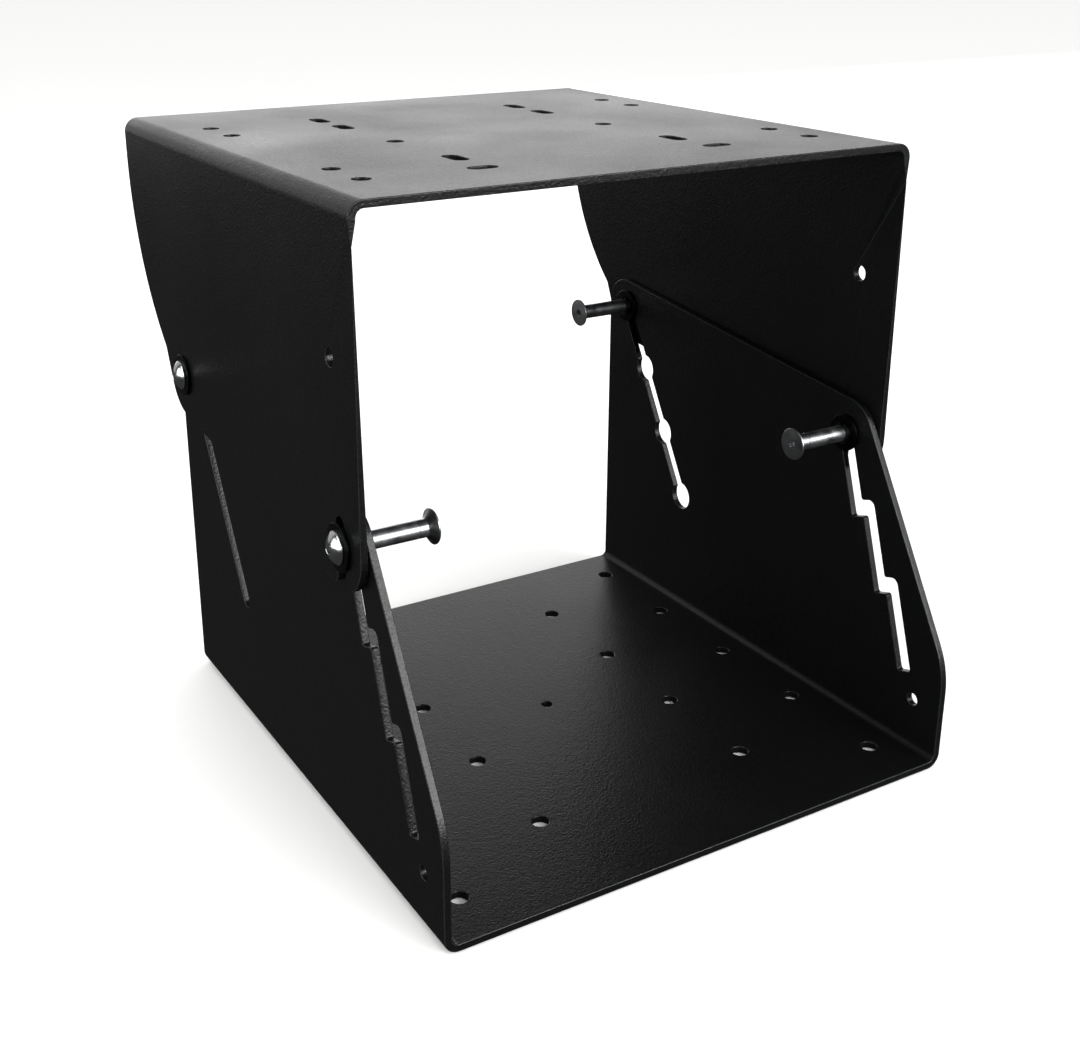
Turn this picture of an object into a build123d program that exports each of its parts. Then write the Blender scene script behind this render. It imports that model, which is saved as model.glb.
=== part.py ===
"""Under-desk computer holder.

A bent sheet hanger screws up under a desk. A bent sheet tray stands between
its walls and carries the computer. Four bolts through slots in the walls set
the height of the tray. Millimetres, +Z up, +X to the right, front at -Y. The
origin is on the floor, under the middle of the whole holder.
"""
from build123d import *

import os
from math import atan2, copysign, cos, hypot, radians, sin

# Sheet, cut and bent
sheet = 3.0
bend_inner_radius = 3.0

# Tray
bay_width = 230.0
tray_rear_margin = 15.0
tray_lead = 50.0
tray_toe_radius = 40.0
tray_toe_height = 34.6
tray_front_ear_radius = 15.5
tray_rear_corner_radius = 13.0

# Hanger, outside the tray
wall_slip = 0.5
hanger_depth = 240.0
hanger_height = 254.0
hanger_front_ear_radius = 16.5
hanger_rear_ear_radius = 19.0
hanger_rear_sweep_radius = 112.0
hanger_rear_straight = 15.0

# Bolt places
front_bolt_height = 129.5
bolt_spacing = 163.5
bolt_rise = 20.0

# Screws, washers and sleeve nuts
screw_diameter = 5.0
screw_head_diameter = 12.5
screw_head_height = 3.6
screw_head_rim = 0.6
screw_tip_gap = 5.0
hex_socket = 3.0
hex_socket_depth = 1.8
washer_thickness = 1.5
washer_play = 0.3
washer_edge_radius = 0.3
outer_washer_diameter = 18.0
inner_washer_diameter = 16.0
lock_washer_ring = 1.95
lock_washer_thickness = 1.5
lock_washer_split = 1.2
lock_washer_split_angle = 25.0
sleeve_nut_length = 27.0
sleeve_wall = 0.95
sleeve_head_diameter = 13.5
sleeve_head_rim = 0.7
sleeve_head_height = 3.2
thread_play = 0.05

# Height slots in the tray
levels = 4
level_drop = 29.45
level_shift = 17.0
channel_lean = 18.0
channel_play = 2.2
channel_seat_radius = 3.0
channel_step_radius = 1.2
rear_slot_play = 2.1
pocket_diameter = 13.5

# Hooks in the hanger that drop over the front bolts
hook_top_room = 7.9
hook_mouth_radius = 3.5
bolt_hole_play = 0.5

# Small holes in the walls
hanger_side_hole_diameter = 6.5
hanger_side_hole_inset = 19.5
hanger_side_hole_height = 198.0
tray_side_hole_diameter = 5.5
tray_side_hole_inset = 15.0
tray_side_hole_height = 25.0

# Hole patterns
hole_diameter = 7.0
wide_spacing = 200.0
narrow_spacing = 100.0
base_row_pitch = 50.0
base_centre_hole_diameter = 5.0
desk_pattern_inset = 110.0
desk_outer_row = 75.0
desk_inner_row = 50.0
desk_slot_width = 6.5
desk_long_slot_length = 14.5
desk_cross_slot_length = 12.0
desk_cross_slot_offset = 2.5

# Places that follow from the sizes above
tray_front = -(tray_lead + hanger_depth) / 2
hanger_front = tray_front + tray_lead
hanger_rear = hanger_front + hanger_depth
front_bolt_y = hanger_front + hanger_front_ear_radius
front_bolt_z = front_bolt_height
rear_bolt_y = front_bolt_y + bolt_spacing
rear_bolt_z = front_bolt_z + bolt_rise
tray_rear = rear_bolt_y + tray_rear_margin
tray_depth = tray_rear - tray_front
tray_middle_y = (tray_front + tray_rear) / 2

tray_inside = bay_width / 2
tray_outside = tray_inside + sheet
hanger_inside = tray_outside + wall_slip
hanger_outside = hanger_inside + sheet
bend_outer_radius = bend_inner_radius + sheet
bend_radii = [0, bend_outer_radius, bend_outer_radius, 0]
bend_radii += [0, bend_inner_radius, bend_inner_radius, 0]

screw_radius = screw_diameter / 2
channel_half = (screw_diameter + channel_play) / 2
hook_half = (screw_diameter + channel_play) / 2
rear_slot_width = screw_diameter + rear_slot_play
washer_bore_radius = (screw_diameter + washer_play) / 2
sleeve_bore_radius = screw_radius + thread_play
sleeve_barrel_radius = sleeve_bore_radius + sleeve_wall
lock_washer_radius = washer_bore_radius + lock_washer_ring

inner_washer_face = tray_inside - washer_thickness
lock_washer_face = inner_washer_face - lock_washer_thickness
sleeve_head_face = lock_washer_face - sleeve_nut_length
outer_washer_face = hanger_outside + washer_thickness
screw_tip = sleeve_head_face + screw_tip_gap

steps = levels - 1
lean = radians(channel_lean)
step_run = level_shift * sin(lean) + level_drop * cos(lean)
step_side = level_shift * cos(lean) - level_drop * sin(lean)
level_pitch = hypot(level_shift, level_drop)
rear_lean = atan2(level_shift, level_drop)

tray_wall_top = max(
    front_bolt_z + tray_front_ear_radius,
    rear_bolt_z + tray_rear_corner_radius,
)
hanger_wall_foot = min(
    front_bolt_z - hanger_front_ear_radius,
    rear_bolt_z - hanger_rear_ear_radius,
)
sweep_centre_y = hanger_rear - hanger_rear_sweep_radius
sweep_centre_z = hanger_height - hanger_rear_straight
hook_top_z = front_bolt_z + hook_top_room

desk_centre_y = hanger_front + desk_pattern_inset


def bent_corners(half_inside, web_z, lip_z):
    """Corners of a U of sheet, outer face first, from its web to its two lips."""
    half_outside = half_inside + sheet
    web_inner_z = web_z + copysign(sheet, lip_z - web_z)
    return [
        (-half_outside, lip_z),
        (-half_outside, web_z),
        (half_outside, web_z),
        (half_outside, lip_z),
        (half_inside, lip_z),
        (half_inside, web_inner_z),
        (-half_inside, web_inner_z),
        (-half_inside, lip_z),
    ]


def stepped_slot_corners():
    """Corners of the stepped slot, with the front bolt at its top seat.

    Local x runs rearward across the channel and local y runs up along it. Each
    channel stands one step further forward than the one above and overlaps it
    by the height of a passage.
    """
    going_down = [(channel_half, channel_half)]
    going_up = []
    for step in range(steps):
        rear_edge = channel_half - step * step_side
        front_edge = -channel_half - step * step_side
        floor = -(step + 1) * step_run - channel_half
        roof = -step * step_run + channel_half
        going_down.append((rear_edge, floor))
        if step < steps - 1:
            going_down.append((rear_edge - step_side, floor))
        else:
            going_down.append((front_edge, floor))
        if step > 0:
            going_up.append((front_edge + step_side, roof))
            going_up.append((front_edge, roof))
    going_up.reverse()
    return going_down + going_up + [(-channel_half, channel_half)]


def stepped_slot_radii():
    """One radius for each corner: large on the seats, small on the steps."""
    going_down = [channel_seat_radius]
    going_down += [channel_step_radius] * (2 * steps)
    going_up = [channel_seat_radius, channel_step_radius] * (steps - 1)
    return going_down + going_up + [channel_seat_radius]


def bolt_section(side, bolt_y, bolt_z):
    """Plane through a bolt's axis, with local x outward along the bolt."""
    return Plane(origin=(0, bolt_y, bolt_z), x_dir=(side, 0, 0), z_dir=(0, 0, side))


def bolt_face(side, bolt_y, bolt_z, reach):
    """Plane across a bolt's axis at a distance from the middle, facing outward."""
    return Plane(origin=(side * reach, bolt_y, bolt_z), x_dir=(0, 0, 1), z_dir=(side, 0, 0))


def make_dome_screw(side, bolt_y, bolt_z):
    """Dome head screw, its head outside the hanger and its shank pointing inward."""
    head_face = outer_washer_face + screw_head_height
    dome_height = screw_head_height - screw_head_rim
    head_radius = screw_head_diameter / 2
    dome_radius = (head_radius**2 + dome_height**2) / (2 * dome_height)
    rim_face = outer_washer_face + screw_head_rim
    with BuildPart() as dome_screw:
        with BuildSketch(bolt_section(side, bolt_y, bolt_z)):
            with BuildLine():
                Polyline(
                    (head_face, 0),
                    (screw_tip, 0),
                    (screw_tip, screw_radius),
                    (outer_washer_face, screw_radius),
                    (outer_washer_face, head_radius),
                    (rim_face, head_radius),
                )
                RadiusArc((rim_face, head_radius), (head_face, 0), dome_radius)
            make_face()
        revolve(axis=Axis((0, bolt_y, bolt_z), (1, 0, 0)))
        with BuildSketch(bolt_face(side, bolt_y, bolt_z, head_face)):
            RegularPolygon(hex_socket / 2, 6, major_radius=False)
        extrude(amount=-hex_socket_depth, mode=Mode.SUBTRACT)
    return dome_screw


def make_washer(side, bolt_y, bolt_z, inward_face, diameter):
    """Flat round washer with softened outer edges."""
    with BuildPart() as washer:
        with BuildSketch(bolt_face(side, bolt_y, bolt_z, inward_face)):
            Circle(diameter / 2)
            Circle(washer_bore_radius, mode=Mode.SUBTRACT)
        extrude(amount=washer_thickness)
        rims = washer.edges().filter_by(GeomType.CIRCLE).sort_by(SortBy.RADIUS)[-2:]
        fillet(rims, washer_edge_radius)
    return washer


def make_lock_washer(side, bolt_y, bolt_z):
    """Lock washer pressed flat, with a split slanting through its thickness."""
    middle = side * (lock_washer_face + lock_washer_thickness / 2)
    with BuildPart() as lock_washer:
        with BuildSketch(bolt_face(side, bolt_y, bolt_z, lock_washer_face)):
            Circle(lock_washer_radius)
            Circle(washer_bore_radius, mode=Mode.SUBTRACT)
        extrude(amount=lock_washer_thickness)
        with BuildSketch(Plane.XY.offset(bolt_z)):
            with Locations((middle, bolt_y)):
                Rectangle(
                    2 * lock_washer_radius,
                    lock_washer_split,
                    rotation=side * lock_washer_split_angle,
                )
        extrude(amount=lock_washer_radius, mode=Mode.SUBTRACT)
    return lock_washer


def make_sleeve_nut(side, bolt_y, bolt_z):
    """Long sleeve nut with a flared flat head, blind bore and hex drive."""
    head_radius = sleeve_head_diameter / 2
    bore_floor = sleeve_head_face + sleeve_head_height
    with BuildPart() as sleeve_nut:
        with BuildSketch(bolt_section(side, bolt_y, bolt_z)):
            with BuildLine():
                Polyline(
                    (sleeve_head_face, 0),
                    (sleeve_head_face, head_radius),
                    (sleeve_head_face + sleeve_head_rim, head_radius),
                    (sleeve_head_face + sleeve_head_height, sleeve_barrel_radius),
                    (lock_washer_face, sleeve_barrel_radius),
                    (lock_washer_face, sleeve_bore_radius),
                    (bore_floor, sleeve_bore_radius),
                    (bore_floor, 0),
                    close=True,
                )
            make_face()
        revolve(axis=Axis((0, bolt_y, bolt_z), (1, 0, 0)))
        with BuildSketch(bolt_face(side, bolt_y, bolt_z, sleeve_head_face)):
            RegularPolygon(hex_socket / 2, 6, major_radius=False)
        extrude(amount=hex_socket_depth, mode=Mode.SUBTRACT)
    return sleeve_nut


# Tray: a U of sheet, trimmed to the side outline
with BuildPart() as lower_bracket:
    with BuildSketch(Plane.XZ.offset(-tray_rear)):
        with BuildLine():
            FilletPolyline(
                bent_corners(tray_inside, 0, tray_wall_top), radius=bend_radii, close=True
            )
        make_face()
    extrude(amount=tray_depth)
    with BuildSketch(Plane.YZ.offset(-tray_outside)):
        with Locations((tray_middle_y, bend_outer_radius / 2)):
            Rectangle(tray_depth, bend_outer_radius)
        with Locations((tray_front + tray_toe_radius, tray_toe_height)):
            Circle(tray_toe_radius)
        with Locations((front_bolt_y, front_bolt_z)):
            Circle(tray_front_ear_radius)
        with Locations((tray_rear - tray_rear_corner_radius, rear_bolt_z)):
            Circle(tray_rear_corner_radius)
        make_hull()
    extrude(amount=2 * tray_outside, mode=Mode.INTERSECT)

    # Stepped slots for the front bolts, leaning forward, cut through both walls
    stepped_plane = Plane(
        origin=(0, front_bolt_y, front_bolt_z),
        x_dir=(0, cos(lean), -sin(lean)),
        z_dir=(1, 0, 0),
    )
    with BuildSketch(stepped_plane):
        with BuildLine():
            FilletPolyline(stepped_slot_corners(), radius=stepped_slot_radii(), close=True)
        make_face()
    extrude(amount=hanger_outside, both=True, mode=Mode.SUBTRACT)

    # Straight slots for the rear bolts, cut through both walls
    rear_slot_plane = Plane(
        origin=(0, rear_bolt_y, rear_bolt_z),
        x_dir=(0, cos(rear_lean), -sin(rear_lean)),
        z_dir=(1, 0, 0),
    )
    with BuildSketch(rear_slot_plane):
        with Locations((0, -steps * level_pitch / 2)):
            SlotCenterToCenter(steps * level_pitch, rear_slot_width, rotation=90)
    extrude(amount=hanger_outside, both=True, mode=Mode.SUBTRACT)

    # Round pockets that widen the right wall's slot at each level
    with BuildSketch(rear_slot_plane):
        with Locations((0, -steps * level_pitch / 2)):
            with GridLocations(0, level_pitch, 1, levels):
                Circle(pocket_diameter / 2)
    extrude(amount=hanger_outside, mode=Mode.SUBTRACT)

    with BuildSketch(Plane.YZ):
        with Locations((tray_front + tray_side_hole_inset, tray_side_hole_height)):
            Circle(tray_side_hole_diameter / 2)
    extrude(amount=hanger_outside, both=True, mode=Mode.SUBTRACT)

    # Staggered rows of round holes through the base
    with BuildSketch(Plane.XY):
        with Locations((0, tray_middle_y)):
            with GridLocations(wide_spacing, base_row_pitch, 2, 5):
                Circle(hole_diameter / 2)
            with GridLocations(narrow_spacing, base_row_pitch, 2, 4):
                Circle(hole_diameter / 2)
            Circle(base_centre_hole_diameter / 2)
    extrude(amount=sheet, mode=Mode.SUBTRACT)

# Side outline of the hanger: two ears and a swept rear edge under a straight top
with BuildSketch() as rear_sweep:
    with Locations((sweep_centre_y, sweep_centre_z)):
        Circle(hanger_rear_sweep_radius)
    with Locations((hanger_front, rear_bolt_z)):
        Rectangle(
            hanger_depth,
            sweep_centre_z - rear_bolt_z,
            align=(Align.MIN, Align.MIN),
            mode=Mode.INTERSECT,
        )

with BuildSketch() as ears:
    with Locations((hanger_front, sweep_centre_z)):
        Rectangle(hanger_depth, hanger_rear_straight, align=(Align.MIN, Align.MIN))
    with Locations((front_bolt_y, front_bolt_z)):
        Circle(hanger_front_ear_radius)
    with Locations((rear_bolt_y, rear_bolt_z)):
        Circle(hanger_rear_ear_radius)
    make_hull()

# Hanger: a U of sheet with its lips down, trimmed to the side outline
with BuildPart() as upper_bracket:
    with BuildSketch(Plane.XZ.offset(-hanger_rear)):
        with BuildLine():
            FilletPolyline(
                bent_corners(hanger_inside, hanger_height, hanger_wall_foot),
                radius=bend_radii,
                close=True,
            )
        make_face()
    extrude(amount=hanger_depth)
    with BuildSketch(Plane.YZ.offset(-hanger_outside)) as hanger_side:
        add(ears.sketch)
        add(rear_sweep.sketch)
        with Locations((front_bolt_y, hook_top_z)):
            Circle(hook_half, mode=Mode.SUBTRACT)
            Rectangle(
                2 * hook_half,
                hook_top_z - hanger_wall_foot,
                align=(Align.CENTER, Align.MAX),
                mode=Mode.SUBTRACT,
            )
        fillet(hanger_side.vertices().sort_by(Axis.Y)[:2], hook_mouth_radius)
    extrude(amount=2 * hanger_outside, mode=Mode.INTERSECT)

    # Rear bolt holes and small side holes through both walls
    with BuildSketch(Plane.YZ):
        with Locations((rear_bolt_y, rear_bolt_z)):
            Circle((screw_diameter + bolt_hole_play) / 2)
        with Locations((hanger_front + hanger_side_hole_inset, hanger_side_hole_height)):
            Circle(hanger_side_hole_diameter / 2)
    extrude(amount=hanger_outside, both=True, mode=Mode.SUBTRACT)

    # Round holes and adjusting slots through the top, for the screws into the desk
    with BuildSketch(Plane.XY.offset(hanger_height)):
        with Locations((0, desk_centre_y)):
            with GridLocations(wide_spacing, 2 * desk_outer_row, 2, 2):
                Circle(hole_diameter / 2)
            with GridLocations(wide_spacing, 2 * desk_inner_row, 2, 2):
                Circle(hole_diameter / 2)
            with GridLocations(narrow_spacing, 0, 2, 1):
                Circle(hole_diameter / 2)
            with GridLocations(narrow_spacing, 2 * desk_inner_row, 2, 2):
                SlotOverall(desk_long_slot_length, desk_slot_width, rotation=90)
        with Locations((0, desk_centre_y + desk_outer_row)):
            with GridLocations(narrow_spacing, 0, 2, 1):
                SlotOverall(desk_long_slot_length, desk_slot_width, rotation=90)
        with Locations((0, desk_centre_y - desk_outer_row)):
            with GridLocations(narrow_spacing + 2 * desk_cross_slot_offset, 0, 2, 1):
                SlotOverall(desk_cross_slot_length, desk_slot_width)
    extrude(amount=-sheet, mode=Mode.SUBTRACT)

nodes = {"lower_bracket": lower_bracket, "upper_bracket": upper_bracket}
for place, bolt_y, bolt_z in (
    ("front", front_bolt_y, front_bolt_z),
    ("rear", rear_bolt_y, rear_bolt_z),
):
    for hand, side in (("left", -1), ("right", 1)):
        corner = f"{place}_{hand}"
        nodes[f"dome_screw_{corner}"] = make_dome_screw(side, bolt_y, bolt_z)
        nodes[f"outer_washer_{corner}"] = make_washer(
            side, bolt_y, bolt_z, hanger_outside, outer_washer_diameter
        )
        nodes[f"inner_washer_{corner}"] = make_washer(
            side, bolt_y, bolt_z, inner_washer_face, inner_washer_diameter
        )
        nodes[f"lock_washer_{corner}"] = make_lock_washer(side, bolt_y, bolt_z)
        nodes[f"sleeve_nut_{corner}"] = make_sleeve_nut(side, bolt_y, bolt_z)

os.makedirs("parts", exist_ok=True)
for name, node in nodes.items():
    node.part.label = name
    export_step(node.part, f"parts/{name}.step")
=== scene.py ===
import math

import bmesh
import bpy
from mathutils import Euler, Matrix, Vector


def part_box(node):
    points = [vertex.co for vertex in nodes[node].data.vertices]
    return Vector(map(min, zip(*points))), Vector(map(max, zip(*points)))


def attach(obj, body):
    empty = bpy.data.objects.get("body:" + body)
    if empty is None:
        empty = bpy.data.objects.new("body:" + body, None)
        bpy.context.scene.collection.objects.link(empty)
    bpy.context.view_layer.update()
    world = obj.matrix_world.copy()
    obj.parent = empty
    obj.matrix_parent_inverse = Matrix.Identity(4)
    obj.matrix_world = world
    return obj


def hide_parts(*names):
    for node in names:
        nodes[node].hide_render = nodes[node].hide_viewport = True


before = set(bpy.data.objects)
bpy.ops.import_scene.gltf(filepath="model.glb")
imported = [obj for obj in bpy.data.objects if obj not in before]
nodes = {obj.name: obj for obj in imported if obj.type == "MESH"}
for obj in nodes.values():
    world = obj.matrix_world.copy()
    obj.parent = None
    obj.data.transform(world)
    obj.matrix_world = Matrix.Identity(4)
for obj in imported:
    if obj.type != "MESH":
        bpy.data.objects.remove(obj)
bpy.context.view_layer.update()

MM = 0.001

# Sizes in millimetres
CUT_EDGE_ROUND = 0.35       # the coat rounds the cut edges of the sheet this much
SCREW_HEAD = 12.5
SCREW_HEAD_HEIGHT = 3.46    # to the rim of its socket
SCREW_DOME_HEIGHT = 3.6     # to where the dome's middle would be
SCREW_RIM = 0.6
SCREW_SHANK = 5.0
SOCKET = 3.0                # hex socket, across its flats
SOCKET_DEPTH = 1.8
NUT_HEAD = 13.5
NUT_HEAD_HEIGHT = 3.2
NUT_RIM = 0.7
NUT_LENGTH = 27.0
NUT_BARREL = 7.0
NUT_BORE = 5.1
WASHER_THICKNESS = 1.5
WASHER_BORE = 5.44
OUTER_WASHER = 18.0
INNER_WASHER = 16.0
THREAD_PITCH = 0.8
THREAD_DEPTH = 0.42
WASHER_EDGE = 0.3
LATHE_STEPS = 96

SIDES = ("left", "right")
ROWS = ("front", "rear")
SCREW_BODY = {"front": "hanger", "rear": "rear_bolts"}


# ---------------------------------------------------------------- node helpers
def linear(hex_colour):
    """sRGB hex to the linear colour that shaders take."""
    parts = [int(hex_colour[i:i + 2], 16) / 255 for i in (1, 3, 5)]
    straight = [c / 12.92 if c <= 0.04045 else ((c + 0.055) / 1.055) ** 2.4 for c in parts]
    return (*straight, 1.0)


def add(tree, kind, links=None, **settings):
    """A node with its settings; links gives each input, by name or place, its socket
    or its value."""
    node = tree.nodes.new(kind)
    for key, value in settings.items():
        setattr(node, key, value)
    for key, source in (links or {}).items():
        if isinstance(source, bpy.types.NodeSocket):
            tree.links.new(source, node.inputs[key])
        else:
            node.inputs[key].default_value = source
    return node


def new_material(name):
    material = bpy.data.materials.new(name)
    material.use_nodes = True
    material.node_tree.nodes.clear()
    return material, material.node_tree


def per_metre(size_mm):
    """Scale that gives a noise pattern this feature size."""
    return 1 / (size_mm * MM)


# ------------------------------------------------------------------- materials
def powder_coat(name, dark, pale, rough_low, rough_high):
    """Polyester powder sprayed on the bent sheet and baked: a fine dry grain over a
    faint orange peel, so flat faces look charcoal where they catch the light and
    nearly black where they face away, with a soft wide highlight along each bend."""
    material, tree = new_material(name)
    place = add(tree, "ShaderNodeTexCoord").outputs["Object"]
    # The grain is about 0.3 mm; it is drawn at 0.9 mm so that it still shows
    grain = add(tree, "ShaderNodeTexNoise", {
        "Vector": place, "Scale": per_metre(0.9), "Detail": 2.0})
    # Orange peel, 3.5 mm from crest to crest
    peel = add(tree, "ShaderNodeTexNoise", {
        "Vector": place, "Scale": per_metre(3.5), "Detail": 1.0})
    # The spray's uneven build, in patches of about 60 mm
    patches = add(tree, "ShaderNodeTexNoise", {
        "Vector": place, "Scale": per_metre(60), "Detail": 2.0})
    colour = add(tree, "ShaderNodeMix", {
        "Factor": grain.outputs["Fac"], 6: linear(dark), 7: linear(pale)}, data_type="RGBA")
    rough_mix = add(tree, "ShaderNodeMath", {
        0: grain.outputs["Fac"], 1: patches.outputs["Fac"]}, operation="ADD")
    rough = add(tree, "ShaderNodeMapRange", {
        "Value": rough_mix.outputs[0], "From Min": 0.6, "From Max": 1.4,
        "To Min": rough_low, "To Max": rough_high})
    peel_bump = add(tree, "ShaderNodeBump", {
        "Height": peel.outputs["Fac"], "Strength": 0.5, "Distance": 0.10 * MM})
    grain_bump = add(tree, "ShaderNodeBump", {
        "Height": grain.outputs["Fac"], "Normal": peel_bump.outputs[0],
        "Strength": 1.0, "Distance": 0.16 * MM})
    shader = add(tree, "ShaderNodeBsdfPrincipled", {
        "Base Color": colour.outputs[2], "Roughness": rough.outputs[0],
        "Normal": grain_bump.outputs[0], "IOR": 1.5})
    add(tree, "ShaderNodeOutputMaterial", {"Surface": shader.outputs[0]})
    return material


def turned_steel(name, dark, pale, roughness, ring_mm, ring_depth_mm):
    """Steel turned on a lathe: rings left by the tool, round each piece's own axis,
    break its reflections into thin arcs. The mesh carries the distance from its axis."""
    material, tree = new_material(name)
    place = add(tree, "ShaderNodeTexCoord").outputs["Object"]
    radius = add(tree, "ShaderNodeAttribute",
                 attribute_name="lathe_radius", attribute_type="GEOMETRY")
    # Tool marks are about 0.1 mm apart; they are drawn wider so that they show
    turns = add(tree, "ShaderNodeMath", {
        0: radius.outputs["Fac"], 1: 2 * math.pi / (ring_mm * MM)}, operation="MULTIPLY")
    rings = add(tree, "ShaderNodeMath", {0: turns.outputs[0]}, operation="SINE")
    # Handling leaves faint cloudy marks about 4 mm wide
    cloud = add(tree, "ShaderNodeTexNoise", {
        "Vector": place, "Scale": per_metre(4), "Detail": 3.0})
    colour = add(tree, "ShaderNodeMix", {
        "Factor": cloud.outputs["Fac"], 6: linear(dark), 7: linear(pale)}, data_type="RGBA")
    rough = add(tree, "ShaderNodeMapRange", {
        "Value": cloud.outputs["Fac"], "From Min": 0.3, "From Max": 0.7,
        "To Min": roughness * 0.8, "To Max": roughness * 1.25})
    bump = add(tree, "ShaderNodeBump", {
        "Height": rings.outputs[0], "Strength": 0.5, "Distance": ring_depth_mm * MM})
    shader = add(tree, "ShaderNodeBsdfPrincipled", {
        "Base Color": colour.outputs[2], "Metallic": 1.0,
        "Roughness": rough.outputs[0], "Normal": bump.outputs[0]})
    add(tree, "ShaderNodeOutputMaterial", {"Surface": shader.outputs[0]})
    return material


def blackened_steel(name, dark, pale, grain_mm, rough_low, rough_high):
    """Stamped or rolled steel in a hot black oxide bath: a thin dark skin with a
    slight sheen, mottled where the stamping left the steel rougher."""
    material, tree = new_material(name)
    place = add(tree, "ShaderNodeTexCoord").outputs["Object"]
    grain = add(tree, "ShaderNodeTexNoise", {
        "Vector": place, "Scale": per_metre(grain_mm), "Detail": 4.0})
    colour = add(tree, "ShaderNodeMix", {
        "Factor": grain.outputs["Fac"], 6: linear(dark), 7: linear(pale)}, data_type="RGBA")
    rough = add(tree, "ShaderNodeMapRange", {
        "Value": grain.outputs["Fac"], "From Min": 0.3, "From Max": 0.7,
        "To Min": rough_low, "To Max": rough_high})
    bump = add(tree, "ShaderNodeBump", {
        "Height": grain.outputs["Fac"], "Strength": 0.4, "Distance": 0.03 * MM})
    shader = add(tree, "ShaderNodeBsdfPrincipled", {
        "Base Color": colour.outputs[2], "Metallic": 1.0,
        "Roughness": rough.outputs[0], "Normal": bump.outputs[0]})
    add(tree, "ShaderNodeOutputMaterial", {"Surface": shader.outputs[0]})
    return material


sheet_coat = powder_coat("powder_coated_steel_sheet", "#030304", "#0d0e0f", 0.27, 0.40)
# The coat draws back from a cut edge as it bakes, so it is thinner and smoother there; its
# paler colour is painted highlight for the light the cut edges catch
edge_coat_with_painted_highlight = powder_coat("powder_coat_thin_at_cut_edges_painted_highlight", "#101112", "#202123", 0.22, 0.32)
screw_steel = turned_steel("polished_stainless_screw", "#cfd2d4", "#eceef0", 0.20, 0.45, 0.004)
nut_steel = turned_steel("turned_stainless_sleeve_nut", "#b4b7b9", "#d6d8da", 0.34, 0.5, 0.012)
washer_steel = blackened_steel("black_oxide_washer", "#101112", "#2c2d2f", 0.8, 0.28, 0.45)
spring_steel = blackened_steel("oiled_spring_steel", "#3a3b3d", "#5b5c5e", 0.6, 0.25, 0.40)


# --------------------------------------------------------------- bent sheets
def coated_sheet(node_name, piece_name, body):
    """A bent sheet as the coat leaves it: its cut edges rounded, slightly shinier, and painted
    paler as a highlight.
    """
    source = nodes[node_name]
    piece = bpy.data.objects.new(piece_name, source.data.copy())
    bpy.context.scene.collection.objects.link(piece)
    mesh = piece.data
    mesh.materials.clear()
    mesh.materials.append(sheet_coat)
    mesh.materials.append(edge_coat_with_painted_highlight)
    built = bmesh.new()
    built.from_mesh(mesh)
    bmesh.ops.remove_doubles(built, verts=built.verts, dist=0.002 * MM)
    bmesh.ops.recalc_face_normals(built, faces=built.faces)
    bmesh.ops.dissolve_limit(
        built, angle_limit=math.radians(0.4), verts=built.verts, edges=built.edges)
    for face in built.faces:
        face.smooth = True
        face.material_index = 0
    built.to_mesh(mesh)
    built.free()
    rounding = piece.modifiers.new("coat rounds the cut edges", "BEVEL")
    rounding.width = CUT_EDGE_ROUND * MM
    rounding.segments = 3
    rounding.limit_method = "ANGLE"
    rounding.angle_limit = math.radians(35)
    rounding.use_clamp_overlap = False
    # The rounded cut edges take the second coat, whose paler colour is painted highlight
    rounding.material = 1
    # Flat faces keep their own direction, so that all the turning is in the rounded edges
    flats = piece.modifiers.new("flat faces stay flat", "WEIGHTED_NORMAL")
    flats.mode, flats.weight, flats.keep_sharp = "FACE_AREA", 100, False
    bpy.context.view_layer.update()
    evaluated = piece.evaluated_get(bpy.context.evaluated_depsgraph_get())
    finished = bpy.data.meshes.new_from_object(evaluated)
    piece.modifiers.clear()
    piece.data = finished
    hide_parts(node_name)
    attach(piece, body)
    return piece


coated_sheet("lower_bracket", "tray_coated_sheet", "tray")
coated_sheet("upper_bracket", "hanger_coated_sheet", "hanger")


# ------------------------------------------------------------ turned fasteners
def hexagon(turn, across):
    """Distance from the axis to a hexagon's side in this direction."""
    sixth = math.pi / 3
    return across / 2 / math.cos((turn + sixth / 2) % sixth - sixth / 2)


def turned(name, rings, open_bore=False):
    """A piece turned about X. Each ring is (x, radius) in millimetres, or a function of
    the turn that gives both. A closed piece ends on the axis at its first and last ring."""
    mesh = bpy.data.meshes.new(name)
    built = bmesh.new()
    distance = built.verts.layers.float.new("lathe_radius")
    made = []
    for ring in rings:
        loop = []
        for step in range(LATHE_STEPS):
            turn = 2 * math.pi * step / LATHE_STEPS
            x, radius = ring(turn) if callable(ring) else ring
            place = Vector((x, radius * math.cos(turn), radius * math.sin(turn)))
            vert = built.verts.new(place * MM)
            vert[distance] = radius * MM
            loop.append(vert)
        made.append(loop)
    pairs = list(zip(made, made[1:]))
    if open_bore:
        pairs.append((made[-1], made[0]))
    for first, second in pairs:
        for step in range(LATHE_STEPS):
            after = (step + 1) % LATHE_STEPS
            built.faces.new((first[step], first[after], second[after], second[step]))
    bmesh.ops.remove_doubles(built, verts=built.verts, dist=0.0005 * MM)
    bmesh.ops.recalc_face_normals(built, faces=built.faces)
    for face in built.faces:
        face.smooth = True
    for edge in built.edges:
        edge.smooth = len(edge.link_faces) == 2 and edge.calc_face_angle(0) < math.radians(32)
    built.to_mesh(mesh)
    built.free()
    return bpy.data.objects.new(name, mesh)


def round_corner(centre_x, centre_r, radius, start, end, steps=5):
    """Rings round a small quarter turn, angles in degrees from +X towards the rim."""
    rings = []
    for i in range(steps + 1):
        angle = math.radians(start + (end - start) * i / steps)
        rings.append((centre_x + radius * math.cos(angle), centre_r + radius * math.sin(angle)))
    return rings


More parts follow.
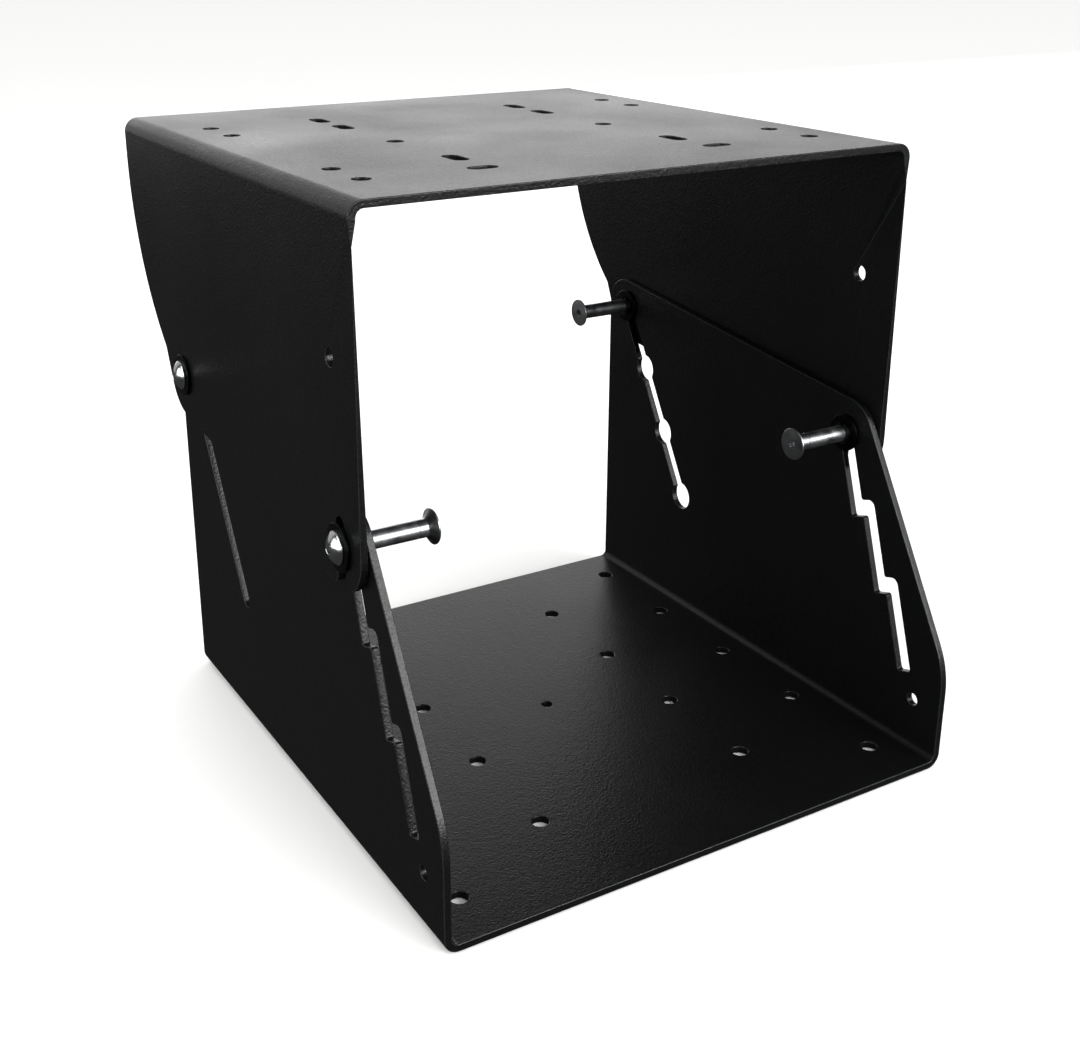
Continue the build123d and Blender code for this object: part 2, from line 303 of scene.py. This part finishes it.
def dome_height(radius):
    """How far out the dome of the screw head stands at a distance from its axis."""
    rise, half = SCREW_DOME_HEIGHT - SCREW_RIM, SCREW_HEAD / 2
    ball = (half ** 2 + rise ** 2) / (2 * rise)
    return SCREW_RIM + rise - ball + math.sqrt(ball ** 2 - radius ** 2)


def socket_mouth(turn):
    radius = hexagon(turn, SOCKET) + 0.12
    return dome_height(radius), radius


def socket_lip(turn):
    radius = hexagon(turn, SOCKET)
    return dome_height(radius) - 0.12, radius


def socket_foot(turn):
    return SCREW_DOME_HEIGHT - SOCKET_DEPTH, hexagon(turn, SOCKET)


def nut_socket_mouth(turn):
    return 0.0, hexagon(turn, SOCKET) + 0.15


def nut_socket_lip(turn):
    return 0.15, hexagon(turn, SOCKET)


def nut_socket_foot(turn):
    return SOCKET_DEPTH, hexagon(turn, SOCKET)


# Screw head with x from the outer washer's face; the shank reaches into the sleeve nut
dome_rings = [(1.55, 0), (1.8, 1.0), socket_foot, socket_lip, socket_mouth]
for i in range(15):
    distance = 2.2 + (SCREW_HEAD / 2 - 2.45) * i / 14
    dome_rings.append((dome_height(distance), distance))
dome_rings += round_corner(SCREW_RIM, SCREW_HEAD / 2 - 0.25, 0.25, 35, 90, 4)
dome_rings += round_corner(0.15, SCREW_HEAD / 2 - 0.15, 0.15, 90, 180, 3)
shank = [(0, SCREW_SHANK / 2)]
x = -6.0
while x > -31.6:
    shank += [(x, SCREW_SHANK / 2), (x - THREAD_PITCH * 0.5, SCREW_SHANK / 2 - THREAD_DEPTH)]
    x -= THREAD_PITCH
shank += [(-32.2, SCREW_SHANK / 2 - 0.1), (-33.0, SCREW_SHANK / 2 - 0.6), (-33.0, 0)]
screw = turned("screw", dome_rings + shank)

# Sleeve nut with x from its flat head's face, outward along the bolt
barrel = NUT_BARREL / 2
nut_rings = [(SOCKET_DEPTH + 0.3, 0), (SOCKET_DEPTH, 1.1)]
nut_rings += [nut_socket_foot, nut_socket_lip, nut_socket_mouth]
nut_rings += [(0, NUT_HEAD / 2 - 0.25)]
nut_rings += round_corner(0.25, NUT_HEAD / 2 - 0.25, 0.25, 180, 90, 4)
nut_rings += round_corner(NUT_RIM - 0.15, NUT_HEAD / 2 - 0.15, 0.15, 90, 40, 3)


def flare(share):
    """The trumpet under the nut's head, easing into the barrel."""
    bend = (1 - share) ** 1.25
    height = NUT_RIM + (NUT_HEAD_HEIGHT - NUT_RIM) * share
    return height, barrel + (NUT_HEAD / 2 - 0.1 - barrel) * bend


nut_rings += [flare(i / 12) for i in range(13)]
# Two narrow shoulders where the barrel was turned down, then the open end round the thread
nut_rings += [(6.4, barrel), (6.55, barrel - 0.12), (7.0, barrel - 0.12), (7.15, barrel)]
nut_rings += [(NUT_LENGTH - 0.3, barrel), (NUT_LENGTH, barrel - 0.3)]
nut_rings += [(NUT_LENGTH, NUT_BORE / 2 + 0.2), (NUT_LENGTH - 0.2, NUT_BORE / 2)]
nut_rings += [(NUT_HEAD_HEIGHT, NUT_BORE / 2), (NUT_HEAD_HEIGHT, 0)]
sleeve_nut = turned("sleeve_nut", nut_rings)


def washer(name, diameter):
    """Punched washer: its outer edges roll over, its bore stays crisp."""
    outside, bore, thick, chamfer = diameter / 2, WASHER_BORE / 2, WASHER_THICKNESS, 0.08
    rings = [(0, bore + chamfer), (chamfer, bore), (thick - chamfer, bore)]
    rings += [(thick, bore + chamfer), (thick, outside - WASHER_EDGE)]
    rings += round_corner(thick - WASHER_EDGE, outside - WASHER_EDGE, WASHER_EDGE, 0, 90)
    rings += round_corner(WASHER_EDGE, outside - WASHER_EDGE, WASHER_EDGE, 90, 180)
    return turned(name, rings, open_bore=True)


outer_washer = washer("outer_washer", OUTER_WASHER)
inner_washer = washer("inner_washer", INNER_WASHER)


def tightening_tree():
    """Sets one turned piece on each bolt point, facing outward, each tightened to its
    own angle about its bolt."""
    tree = bpy.data.node_groups.new("tighten_on_bolts", "GeometryNodeTree")
    face = tree.interface
    face.new_socket("Points", in_out="INPUT", socket_type="NodeSocketGeometry")
    kinds = {"Piece": "Object", "Finish": "Material", "Spin": "Float", "Seed": "Int"}
    sockets = {name: face.new_socket(name, in_out="INPUT", socket_type="NodeSocket" + kind)
               for name, kind in kinds.items()}
    face.new_socket("Pieces", in_out="OUTPUT", socket_type="NodeSocketGeometry")
    given = add(tree, "NodeGroupInput")
    piece = add(tree, "GeometryNodeObjectInfo", {
        "Object": given.outputs["Piece"], "As Instance": True})
    outward = add(tree, "GeometryNodeInputNamedAttribute", {
        "Name": "outward_turn"}, data_type="FLOAT")
    spin = add(tree, "FunctionNodeRandomValue", {
        2: 0.0, 3: given.outputs["Spin"], "Seed": given.outputs["Seed"]}, data_type="FLOAT")
    turns = add(tree, "ShaderNodeCombineXYZ", {
        0: spin.outputs[1], 2: outward.outputs["Attribute"]})
    rotation = add(tree, "FunctionNodeEulerToRotation", {0: turns.outputs[0]})
    placed = add(tree, "GeometryNodeInstanceOnPoints", {
        "Points": given.outputs["Points"], "Instance": piece.outputs["Geometry"],
        "Rotation": rotation.outputs[0]})
    real = add(tree, "GeometryNodeRealizeInstances", {0: placed.outputs[0]})
    finished = add(tree, "GeometryNodeSetMaterial", {
        "Geometry": real.outputs[0], "Material": given.outputs["Finish"]})
    add(tree, "NodeGroupOutput", {0: finished.outputs[0]})
    return tree, {name: socket.identifier for name, socket in sockets.items()}


tighten, tighten_inputs = tightening_tree()


def tighten_on(piece_name, piece, finish, body, cad_names, seed, zero=None):
    """Places a turned piece where its CAD nodes are, and makes it one plain mesh. zero is
    how far from the middle the piece's own zero lies; without it, that is the node's
    inner end."""
    mesh = bpy.data.meshes.new(piece_name)
    points, turns = [], []
    for cad_name in cad_names:
        low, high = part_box(cad_name)
        side = 1 if low.x > 0 else -1
        reach = min(abs(low.x), abs(high.x)) if zero is None else zero * MM
        points.append((side * reach, (low.y + high.y) / 2, (low.z + high.z) / 2))
        turns.append(0.0 if side > 0 else math.pi)
    mesh.from_pydata(points, [], [])
    attribute = mesh.attributes.new("outward_turn", "FLOAT", "POINT")
    attribute.data.foreach_set("value", turns)
    placed = bpy.data.objects.new(piece_name, mesh)
    bpy.context.scene.collection.objects.link(placed)
    modifier = placed.modifiers.new("tighten", "NODES")
    modifier.node_group = tighten
    given = {"Piece": piece, "Finish": finish, "Spin": 2 * math.pi, "Seed": seed}
    for name, value in given.items():
        modifier[tighten_inputs[name]] = value
    bpy.context.view_layer.update()
    evaluated = placed.evaluated_get(bpy.context.evaluated_depsgraph_get())
    plain = bpy.data.meshes.new_from_object(evaluated)
    placed.modifiers.clear()
    placed.data = plain
    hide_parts(*cad_names)
    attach(placed, body)
    return placed


def both_sides(kind, row):
    return [f"{kind}_{row}_{side}" for side in SIDES]


outer_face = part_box("dome_screw_front_right")[1].x / MM - SCREW_HEAD_HEIGHT
for order, row in enumerate(ROWS):
    body = SCREW_BODY[row]
    tighten_on(f"dome_screws_{row}", screw, screw_steel, body,
               both_sides("dome_screw", row), 11 + order, zero=outer_face)
    tighten_on(f"outer_washers_{row}", outer_washer, washer_steel, body,
               both_sides("outer_washer", row), 21 + order)
    tighten_on(f"inner_washers_{row}", inner_washer, washer_steel, body,
               both_sides("inner_washer", row), 31 + order)
    for side in SIDES:
        tighten_on(f"sleeve_nut_turned_{row}_{side}", sleeve_nut, nut_steel,
                   f"nut_{row}_{side}",
                   [f"sleeve_nut_{row}_{side}"], 41 + order)
        lock = nodes[f"lock_washer_{row}_{side}"]
        lock.data.materials.clear()
        lock.data.materials.append(spring_steel)
for template in (screw, sleeve_nut, outer_washer, inner_washer):
    bpy.data.objects.remove(template)


# ----------------------------------------------------------------------- studio
def plain(name, hex_colour, roughness):
    material, tree = new_material(name)
    shader = add(tree, "ShaderNodeBsdfPrincipled", {
        "Base Color": linear(hex_colour), "Roughness": roughness})
    add(tree, "ShaderNodeOutputMaterial", {"Surface": shader.outputs[0]})
    return material


floor_mesh = bpy.data.meshes.new("studio_floor")
floor_mesh.from_pydata([(-8, -8, 0), (8, -8, 0), (8, 8, 0), (-8, 8, 0)], [], [(0, 1, 2, 3)])
floor = bpy.data.objects.new("studio_floor", floor_mesh)
floor_mesh.materials.append(plain("matt_white_studio_floor", "#f4f4f2", 0.9))
floor.location.z = -0.0004
bpy.context.scene.collection.objects.link(floor)
floor.visible_glossy = False


def softbox(name, place, aim, width, height, watts):
    lamp = bpy.data.lights.new(name, "AREA")
    lamp.shape, lamp.size, lamp.size_y, lamp.energy = "RECTANGLE", width, height, watts
    light = bpy.data.objects.new(name, lamp)
    light.location = place
    light.rotation_mode = "QUATERNION"
    light.rotation_quaternion = (Vector(aim) - Vector(place)).to_track_quat("-Z", "Y")
    light.visible_camera = False
    bpy.context.scene.collection.objects.link(light)
    return light


middle = (0, 0, 0.13)
softbox("overhead_softbox", (-0.3, 0.2, 1.7), middle, 1.6, 1.6, 6)
softbox("rear_softbox", (0.8, 2.2, 1.55), (0.8, 0, 1.5), 6.0, 3.0, 22)
softbox("low_rear_softbox", (1.5, 2.18, 0.42), (1.5, 0, 0.4), 3.6, 0.8, 17)
softbox("front_softbox", (0.55, -1.62, 0.78), (-0.1, -0.1, 0.08), 1.4, 0.9, 32)
softbox("left_softbox", (-1.8, 0.0, 0.55), middle, 1.8, 1.1, 17)

# A tent of plain white: matt surfaces see it bright all round, while gloss mostly
# shows the softboxes
world = bpy.data.worlds.new("pale_studio")
bpy.context.scene.world = world
world.use_nodes = True
world.node_tree.nodes.clear()
rays = add(world.node_tree, "ShaderNodeLightPath")
level = add(world.node_tree, "ShaderNodeMath", {
    0: rays.outputs["Is Glossy Ray"], 1: -1.12, 2: 1.16}, operation="MULTIPLY_ADD")
air = add(world.node_tree, "ShaderNodeBackground", {
    "Color": linear("#fbfbfb"), "Strength": level.outputs[0]})
add(world.node_tree, "ShaderNodeOutputWorld", {"Surface": air.outputs[0]})
bpy.context.scene.view_settings.view_transform = "Standard"

lens = bpy.data.cameras.new("camera")
lens.sensor_width, lens.lens = 36, 47.965
lens.shift_x, lens.shift_y = 0.037, -0.0889
camera = bpy.data.objects.new("camera", lens)
camera.location = (-0.30595, -0.50671, 0.33542)
camera.rotation_euler = Euler([math.radians(a) for a in (70.6407, 0.1915, -30.2835)])
bpy.context.scene.collection.objects.link(camera)
bpy.context.scene.camera = camera

bpy.context.view_layer.update()
